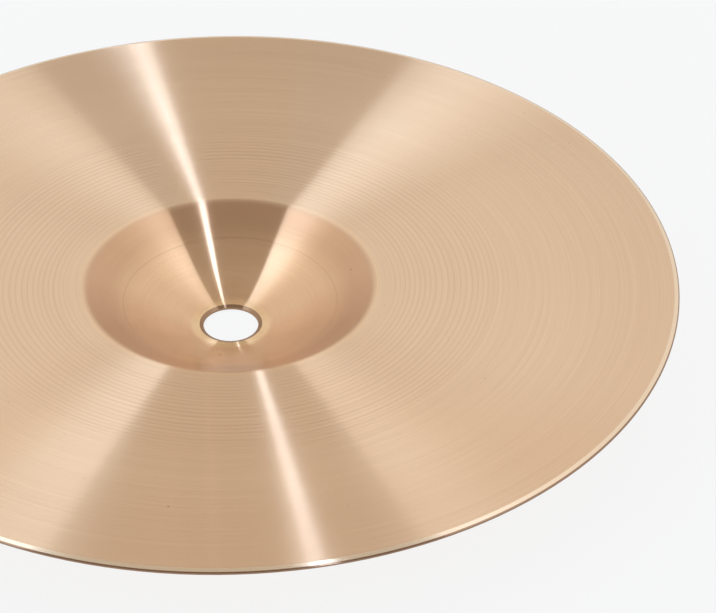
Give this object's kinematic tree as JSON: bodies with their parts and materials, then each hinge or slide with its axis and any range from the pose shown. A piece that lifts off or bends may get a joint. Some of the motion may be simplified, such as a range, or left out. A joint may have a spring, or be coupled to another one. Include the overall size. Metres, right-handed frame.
{
  "type": "accent cymbal",
  "caption": "Small bronze accent cymbal: a thin turned disc with a shallow bow, a raised bell and a round mounting hole, lying on its bell with the hollow side up.",
  "frame": {"origin": "on the axis, in the plane of the flat pad round the mounting hole on the outer face, which is the lowest part of the cymbal as it lies", "axes": "+Z along the axis of turning, from the bell towards the open hollow side; X and Y lie in the plane of the rim, and the disc is round"},
  "size_m": [0.2032, 0.2032, 0.0192],
  "materials": {
    "bronze": "bright lathe-turned cast bronze, satin along its concentric lathe lines, clear and untarnished"
  },
  "bodies": {
    "root": {"cymbal": "bronze"}
  },
  "joints": []
}
